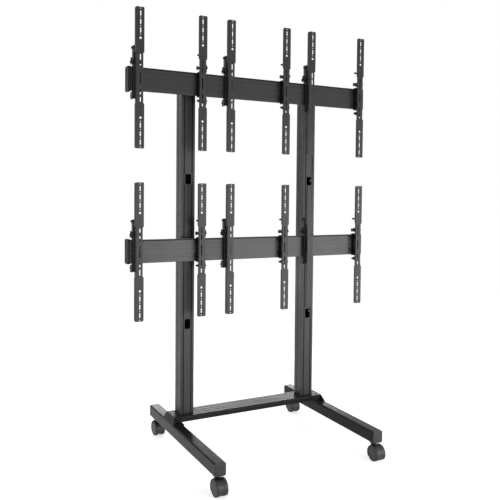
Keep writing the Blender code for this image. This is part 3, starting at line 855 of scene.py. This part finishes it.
def makeArm():
    front = arm["channelFront"]
    depth = arm["channelDepth"] - front
    width = arm["slotWidth"]
    reach, start = arm["reach"], arm["extensionStart"]
    channelPoints = bentOutline(arm["channelInner"], arm["channelOuter"], front, arm["channelLip"], depth)
    channel = drawSolid("channel", 2, -arm["channelEnd"], 2 * arm["channelEnd"], channelPoints)
    cutAway(channel, *[addSlot(0.004, z, width, long) for z, long in arm["channelSlots"]])
    shells = [channel]
    inner, outer = arm["extensionInner"], arm["extensionOuter"]
    wide = bentOutline(inner, outer, 0, arm["extensionLip"], arm["extensionFlange"])
    extension = drawSolid("extension", 2, start, reach - start, wide)
    slots = [addSlot(0.002, z, width, arm["extensionSlotLength"]) for z in arm["extensionSlots"]]
    slots.append(addSlot(0.002, arm["roundHole"], arm["roundHoleWidth"]))
    slots += [addSlot(0.002, z, arm["smallHoleWidth"]) for z in arm["smallHoles"]]
    slots += [addSlot(0.002, z, 2.1 * screw["radius"]) for z in arm["screws"]]
    cut = arm["extensionChamfer"]
    for x, sign in ((-outer, 1), (inner, -1)):
        for z, rise in ((reach, -1), (start, 1)):
            side, end = x - sign * 0.001, z - rise * 0.001
            corner = [(side, end), (x + sign * cut, end), (side, z + rise * cut)]
            slots.append(drawSolid("corner", 1, -0.01, 0.05, corner))
    cutAway(extension, *slots)
    softened(extension, 0.0004, 1, 50)
    softened(channel, 0.0004, 1, 50)
    shells += [extension, copied(extension, "extension", Matrix.Scale(-1, 4, up))]
    for shell in shells:
        painted(shell, powderCoatedSteel)
    # two screws hold each extension on the channel
    for z in arm["screws"]:
        shells += [screwAt((0, 0.0004, z)), screwAt((0, 0.0004, -z))]
    return joined("displayArm", *shells)


# rail hooks: a side plate and a web behind the arm, hooked over and under the rail

hook = {
    "sheet": 0.003,
    "rear": 0.062,
    "plateOuter": 0.0342,
    "plateInner": 0.0312,
    "inner": 0.014,
    "web": 0.0303,
    "top": 0.1961,
    "bottom": -0.1221,
    "clearFace": 0.049,
    "edge": 0.0724,
    "bar": 0.006,
    "finger": (0.0573, 0.0653),
    "fingerTip": 0.0624,
    "chamfer": 0.012,
    "round": 0.004,
    "bend": 0.0025,
    # from, to, and how far each tab of the web reaches across
    "tabs": (
        (-0.1211, 0.1951, -0.009),
        (-0.1136, -0.0896, 0.004),
        (-0.0784, 0.0784, 0.014),
        (0.0911, 0.1151, 0.004),
    ),
    "tabCorner": 0.005,
    "axis": 0.050,
    "adjuster": 0.1031,
    "bore": 0.0074,
    "ear": (-0.007, -0.004),
    "earHalf": 0.015,
    "clamp": 0.1836,
    "clampRadius": 0.006,
    "lock": -0.1016,
    "lockRadius": 0.006,
    "cone": (-0.008, 0.013),
    "spool": 0.0125,
    "waist": 0.0085,
    "shaft": 0.007,
    "reachOuter": -0.0432,
    "reachInner": 0.020,
    "clampOuter": -0.0385,
    "clampInner": 0.0165,
    "boltOuter": -0.036,
    "gusset": ((0.001, -0.0745), (-0.008, -0.0745), (-0.008, -0.0775), (0.001, -0.094)),
    "gussetAt": 0.0385,
    "wing": ((-0.0338, 0.0065), (-0.0380, 0.0080), (-0.0432, 0.0075)),
    "wingThick": 0.008,
}
knob = {"lock": 0.0245, "adjuster": 0.0175, "lobes": 6, "wave": 0.20, "thick": 0.0085, "rim": 0.0008}
dish = {"edge": 0.3, "depth": 0.0006}


def makeKnob(name, radius, start, height, phase=0):
    # a lobed grip about an axis along X, with a shallow dish in each face
    wave, lobes = knob["wave"] * radius, knob["lobes"]
    points = []
    for step in range(10 * lobes):
        turn = math.tau * step / (10 * lobes)
        reach = radius - wave + wave * math.cos(lobes * turn + phase)
        points.append((hook["axis"] + reach * math.cos(turn), height + reach * math.sin(turn)))
    grip = drawSolid(name, 0, start, knob["thick"], points)
    roundEdges(grip, knob["rim"], 2, lambda edge: abs(edge.verts[0].co.x - edge.verts[1].co.x) < 1e-6)
    for sign in (-1, 1):
        choose(grip, "FACE", lambda face: face.normal.x * sign > 0.999)
        bpy.ops.mesh.inset(thickness=radius * dish["edge"], depth=-dish["depth"])
    outwards()
    return painted(grip, mouldedNylon)


def makeHook():
    outer, inner = -hook["plateOuter"], -hook["plateInner"]
    axis, rear, web, clear = hook["axis"], hook["rear"], hook["web"], hook["clearFace"]
    cut, lock, adjuster, edge = hook["chamfer"], hook["lock"], hook["adjuster"], hook["edge"] + 0.001
    top, bottom = hook["top"], hook["bottom"]
    side = [(rear - cut, bottom), (rear, bottom + cut), (rear, -edge), (clear, -edge), (clear, edge)]
    side += [(rear, edge), (rear, top - cut), (rear - cut, top), (web, top), (web, bottom)]
    plate = drawSolid("plate", 0, outer, inner - outer, side)

    def behindWeb(edge):
        start, end = (corner.co for corner in edge.verts)
        return abs(start.x - end.x) > 0.002 and start.y > web + 0.001

    roundEdges(plate, hook["round"], 3, behindWeb)
    small = hook["tabCorner"]
    for low, high, reach in hook["tabs"]:
        points = [(inner - 0.001, low), (reach - small, low), (reach, low + small)]
        points += [(reach, high - small), (reach - small, high), (inner - 0.001, high)]
        tab = drawSolid("tab", 1, web, hook["sheet"], points)
        change(plate, "BOOLEAN", operation="UNION", solver="EXACT", object=tab)
        discard(tab)

    # the sheet bends round where the web folds out of the plate
    def onFold(edge):
        return all(abs(corner.co.x - outer) + abs(corner.co.y - web) < 1e-5 for corner in edge.verts)

    roundEdges(plate, hook["bend"], 3, onFold)
    bore = addRod("bore", (outer - 0.01, axis, adjuster), (inner + 0.01, axis, adjuster), hook["bore"])
    cutAway(plate, bore)
    softened(plate, 0.0004, 1, 50)
    shells = [plate]
    start = web + hook["sheet"] / 2
    near, far = hook["finger"]
    for sign in (-1, 1):
        edge = sign * hook["edge"]
        thick = sign * (hook["edge"] + hook["bar"])
        tip = sign * hook["fingerTip"]
        points = [(start, edge), (near, edge), (near, tip), (far, tip), (far, thick), (start, thick)]
        bar = drawSolid("bar", 0, outer + 0.0005, hook["inner"] - outer - 0.0015, points)
        shells.append(softened(bar, 0.0006, 2))
    earLow, earHigh = hook["ear"]
    middle, half = hook["adjuster"], hook["earHalf"]
    points = roundedRectangle((start - 0.006, middle - half), (rear, middle + half), 0.005, 4)
    ear = drawSolid("ear", 0, earLow, earHigh - earLow, points)
    cutAway(ear, addRod("bore", (-0.01, axis, middle), (0.001, axis, middle), hook["bore"]))
    shells.append(softened(ear, 0.0004, 1))
    # a small gusset under the rail, outside the plate
    corners = [(outer + x, z) for x, z in hook["gusset"]]
    shells.append(softened(drawSolid("gusset", 1, hook["gussetAt"], hook["sheet"], corners), 0.0005, 2))
    for shell in shells:
        painted(shell, powderCoatedHook)
    reach, back = hook["reachOuter"], hook["reachInner"]
    clamp, rod, head, tip = hook["clamp"], hook["clampRadius"], hook["clampOuter"], hook["clampInner"]
    profile = [(0, head), (rod - 0.001, head), (rod, head + 0.001)]
    profile += [(rod, tip - 0.001), (rod - 0.001, tip), (0, tip)]
    shells.append(painted(turned("clampScrew", profile, (0, axis, clamp), right, 24), blackOxideSteel))
    thick = hook["wingThick"]
    points = [(x, clamp - z) for x, z in hook["wing"]] + [(x, clamp + z) for x, z in reversed(hook["wing"])]
    wing = drawSolid("wing", 1, axis - thick / 2, thick, points)
    shells.append(painted(softened(wing, 0.002, 3), mouldedNylon))
    rod, head, tip = hook["lockRadius"], hook["boltOuter"], back - 0.004
    bolt = turned("lockBolt", [(0, head), (rod, head), (rod, tip), (0, tip)], (0, axis, lock), right, 24)
    shells.append(painted(bolt, blackOxideSteel))
    shells.append(makeKnob("starKnob", knob["lock"], reach, lock))
    base, wide = hook["cone"]
    profile = [(0, base), (wide - 0.001, base), (wide, base + 0.001), (wide, base + 0.003)]
    profile += [(0.0035, back - 0.001), (0.0025, back), (0, back)]
    shells.append(painted(turned("coneGrip", profile, (0, axis, lock), right, 32), mouldedNylon))
    return joined("railHook", *shells)


def makeAdjuster():
    # a shaft with a star knob outside the plate and a spool-shaped one inside the ear
    axis, height, rod = hook["axis"], hook["adjuster"], hook["shaft"]
    reach, back = hook["reachOuter"], hook["reachInner"]
    begin, end = reach + 0.004, back - 0.002
    shaft = turned("shaft", [(0, begin), (rod, begin), (rod, end), (0, end)], (0, axis, height), right, 24)
    face, wide, waist = hook["ear"][1] + 0.0003, hook["spool"], hook["waist"]
    rim = ((0, 0), (wide - 0.0008, 0), (wide, 0.0008), (wide, 0.005), (waist, 0.009))
    profile = [(radius, face + x) for radius, x in rim] + [(radius, back - x) for radius, x in reversed(rim)]
    spool = painted(turned("spoolKnob", profile, (0, axis, height), right, 32), mouldedNylon)
    grip = makeKnob("outerKnob", knob["adjuster"], reach, height, math.pi)
    return joined("heightAdjuster", painted(shaft, zincPlatedSteel), grip, spool)


armShape, hookShape, adjusterShape = makeArm(), makeHook(), makeAdjuster()
for level in levels:
    for number in range(1, 7):
        low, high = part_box(f"display_arm_{level}_{number}")
        hand = Matrix.Identity(4) if number % 2 else Matrix.Scale(-1, 4, right)
        slotLine = low.x + arm["extensionOuter"] if number % 2 else high.x - arm["extensionOuter"]
        place = Matrix.Translation((slotLine, low.y, (low.z + high.z) / 2)) @ hand
        tail, unit = f"{level.title()}{number}", f"{level}_{number}"
        for shape, name, body, slot, node in (
            (armShape, "displayArm", "arm", "painted_steel", "display_arm"),
            (hookShape, "railHook", "hook", "black_steel", "rail_hook"),
            (adjusterShape, "heightAdjuster", "adjuster", "black_plastic", "height_adjuster"),
        ):
            fit(copied(shape, name + tail, place), f"{body}_{unit}", slot, f"{node}_{unit}")
discard(armShape, hookShape, adjusterShape)
print("twelve arms hang on their hooks")


# casters: a moulded hood over two wheels, drawn about the stem's foot under the leg

caster = {
    "trail": 0.030,
    "axleHeight": 0.0475,
    "legUnder": 0.112,
    "wheelInner": 0.00975,
    "wheelOuter": 0.03275,
    "web": 0.00825,
    "hoodFrom": -36,
    "hoodTo": 216,
    "hoodSteps": 36,
    "disc": 0.025,
    "discHeight": 0.0088,
    "neck": 0.016,
    "neckHeight": 0.026,
    "stem": 0.0055,
    "stemTop": 0.027,
    "axle": 0.005,
    "bore": 0.0054,
    "boss": 0.011,
    "webRadius": 0.0502,
    "room": 0.0492,
    # across one wheel: (distance from the middle, radius), the hood's crowned outside and then its inside
    "lobe": (
        (0.0078, 0.0500), (0.0105, 0.0509), (0.0145, 0.0516), (0.0190, 0.0520), (0.0235, 0.0519),
        (0.0280, 0.0514), (0.0312, 0.0506), (0.03275, 0.0496), (0.03275, 0.0488), (0.0285, 0.0494),
        (0.0190, 0.0497), (0.0120, 0.0494), (0.0078, 0.0488),
    ),
    # (radius, distance) from the wheel's inner face, and then from its outer face
    "tyreInner": ((0.0385, 0.001), (0.0435, 0), (0.0460, 0.0012), (0.0475, 0.004)),
    "coreInner": ((0.0045, 0), (0.012, 0), (0.014, 0.003), (0.0385, 0.003)),
    "coreOuter": (
        (0.0388, 0.0022), (0.0370, 0.0016), (0.030, 0.0009), (0.021, 0.0004), (0.011, 0.0001), (0, 0)
    ),
}


def makeHood():
    axle = Vector((0, -caster["trail"], caster["axleHeight"] - caster["legUnder"]))
    begin = math.radians(caster["hoodFrom"])
    sweep = math.radians(caster["hoodTo"] - caster["hoodFrom"])
    radial = Vector((0, math.cos(begin), math.sin(begin)))
    shells = []
    for sign in (-1, 1):
        section = [right * sign * x + axle + radial * radius for x, radius in caster["lobe"]]
        shell = drawLine("lobe", section, closed=True)
        bpy.ops.mesh.edge_face_add()
        bpy.ops.mesh.spin(steps=caster["hoodSteps"], angle=-sweep, center=axle, axis=right)
        outwards()
        shells.append(shell)
    half, radius = caster["web"], caster["webRadius"]
    edge = arc(axle.y, axle.z, radius, caster["hoodFrom"] / 90, caster["hoodTo"] / 90, 40)
    web = drawSolid("web", 0, -half, 2 * half, edge)
    boss = addRod("boss", axle - right * half, axle + right * half, caster["boss"], 32)
    change(web, "BOOLEAN", operation="UNION", solver="EXACT", object=boss)
    discard(boss)
    cutAway(web, addRod("bore", axle - right * 0.02, axle + right * 0.02, caster["bore"], 24))
    disc, under, neck, foot = caster["disc"], -caster["discHeight"], caster["neck"], -caster["neckHeight"]
    profile = [(0, -0.0003), (disc - 0.0012, -0.0003), (disc, -0.0015), (disc, under + 0.001)]
    profile += [(disc - 0.001, under), (neck, under), (neck, -0.018), (neck + 0.0012, -0.0215)]
    profile += [(neck + 0.0012, foot), (0, foot)]
    collar = turned("neck", profile, (0, 0, 0), up)
    rooms = []
    for sign in (-1, 1):
        near, far = [axle + right * sign * x for x in (half + 0.0001, caster["wheelOuter"] + 0.004)]
        rooms.append(addRod("room", near, far, caster["room"], 48))
    shells += [web, cutAway(collar, *rooms)]
    for shell in shells:
        painted(shell, mouldedNylon)
    rod, tip = caster["stem"], caster["stemTop"]
    profile = [(0, -0.004), (rod, -0.004), (rod, tip - 0.001), (rod - 0.001, tip), (0, tip)]
    shells.append(painted(turned("stem", profile, (0, 0, 0), up, 24), zincPlatedSteel))
    return joined("casterHood", *shells)


def makeWheels():
    # two tyres on domed cores, turned round the axle
    inner, outer, rod = caster["wheelInner"], caster["wheelOuter"], caster["axle"]
    tread = [(radius, inner + x) for radius, x in caster["tyreInner"]]
    tread += [(radius, outer - x) for radius, x in reversed(caster["tyreInner"])] + tread[:1]
    dome = [(radius, inner + x) for radius, x in caster["coreInner"]]
    dome += [(radius, outer - x) for radius, x in caster["coreOuter"]]
    shells = []
    for sign in (-1, 1):
        shells.append(painted(turned("tyre", tread, (0, 0, 0), right * sign, 56), castPolyurethane))
        shells.append(painted(turned("core", dome, (0, 0, 0), right * sign, 48), mouldedNylon))
    end = inner + 0.002
    axle = turned("axle", [(0, -end), (rod, -end), (rod, end), (0, end)], (0, 0, 0), right, 24)
    shells.append(painted(axle, zincPlatedSteel))
    return joined("casterWheels", *shells)


hoodShape, wheelShape = makeHood(), makeWheels()
for side, _ in sides:
    for end, _ in ends:
        low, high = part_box(f"caster_wheels_{side}_{end}")
        middle = (low + high) / 2
        stemPlace = Vector((middle.x, middle.y + caster["trail"], caster["legUnder"]))
        tail, unit = f"{side.title()}{end.title()}", f"{side}_{end}"
        hood = copied(hoodShape, f"casterHood{tail}", Matrix.Translation(stemPlace))
        fit(hood, f"swivel_{unit}", "black_plastic", f"caster_hood_{unit}")
        wheels = copied(wheelShape, f"casterWheels{tail}", Matrix.Translation(middle))
        fit(wheels, f"roller_{unit}", "wheel_rubber", f"caster_wheels_{unit}")
discard(hoodShape, wheelShape, socketScrew)
print("casters fitted")


# the studio: a white floor that keeps the cart's shadow, soft lamps and a white surround
# each lamp has its power, size, place and the point that it faces
studio = {
    "floor": 60.0,
    "floorGlow": 0.60,
    "surround": 0.48,
    "key": (115, (4.6, 2.0), (1.8, -3.4, 1.0), (0, 0, 1.2)),
    "fill": (30, (2.5, 2.5), (-4.2, 0.2, 1.3), (0, 0, 1.2)),
    "rear": (30, (3.0, 3.0), (1.5, 4.0, 5.6), (0, 0, 1.2)),
    "strip": (12, (2.8, 0.14), (0.85, 2.2, 0.76), (0.85, 0.0, 0.3)),
}


def seenDirectly(tree):
    # 1 for what the camera, gloss and glass see, and 0 for the light that falls on the cart
    rays = addNode(tree, "LightPath").outputs
    seen = rays["Is Camera Ray"]
    for kind in ("Is Glossy Ray", "Is Transmission Ray"):
        seen = addNode(tree, "Math", {0: seen, 1: rays[kind]}, operation="MAXIMUM").outputs[0]
    return seen


def makeFloor():
    putDown()
    bpy.ops.mesh.primitive_plane_add(size=studio["floor"])
    floor = named("studioFloor")
    # matt emulsion: it glows a little where it is seen, and keeps the cart's shadow
    material, tree, shader = newMaterial("painted studio floor")
    glow = addNode(tree, "Math", {0: seenDirectly(tree), 1: studio["floorGlow"]}, operation="MULTIPLY")
    tree.links.new(glow.outputs[0], shader.inputs["Emission Strength"])
    shader.inputs["Base Color"].default_value = tone("#ededed")
    shader.inputs["Emission Color"].default_value = tone("#ffffff")
    shader.inputs["Roughness"].default_value = 1.0
    shader.inputs["Specular IOR Level"].default_value = 0.0
    painted(floor, material)


def makeSurround():
    world = bpy.data.worlds.new("studio")
    bpy.context.scene.world = world
    world.use_nodes = True
    tree = world.node_tree
    background = tree.nodes["Background"]
    spread = {"Value": seenDirectly(tree), "To Min": studio["surround"], "To Max": 1.0}
    strength = addNode(tree, "MapRange", spread)
    tree.links.new(strength.outputs["Result"], background.inputs["Strength"])
    background.inputs["Color"].default_value = tone("#ffffff")


def addLamp(name, power, size, place, towards):
    putDown()
    aim = Vector(towards) - Vector(place)
    turn = aim.to_track_quat("-Z", "Y").to_euler()
    bpy.ops.object.light_add(type="AREA", location=place, rotation=turn)
    lamp = bpy.context.object
    lamp.name = lamp.data.name = name
    lamp.data.energy = power
    lamp.data.shape = "RECTANGLE"
    lamp.data.size, lamp.data.size_y = size


# place in metres, turns in degrees, lens and sensor in millimetres: the photograph's view
camera = {
    "place": (-1.9867, -3.6544, 1.6450),
    "yaw": 27.3517,
    "pitch": 1.8738,
    "roll": 0.5022,
    "lens": 46.379,
    "sensor": 36,
    "shift": -0.0696,
}


def makeCamera():
    putDown()
    bpy.ops.object.camera_add(location=camera["place"])
    item = bpy.context.object
    turn = Matrix.Rotation(-math.radians(camera["yaw"]), 4, "Z")
    turn = turn @ Matrix.Rotation(math.radians(90 - camera["pitch"]), 4, "X")
    turn = turn @ Matrix.Rotation(math.radians(camera["roll"]), 4, "Z")
    item.rotation_euler = turn.to_euler()
    item.data.lens = camera["lens"]
    item.data.sensor_width = camera["sensor"]
    item.data.shift_y = camera["shift"]
    bpy.context.scene.camera = item


makeFloor()
makeSurround()
for name in ("key", "fill", "rear", "strip"):
    addLamp(f"{name}Lamp", *studio[name])
makeCamera()
bpy.context.scene.view_settings.view_transform = "Standard"
print("studio lit")
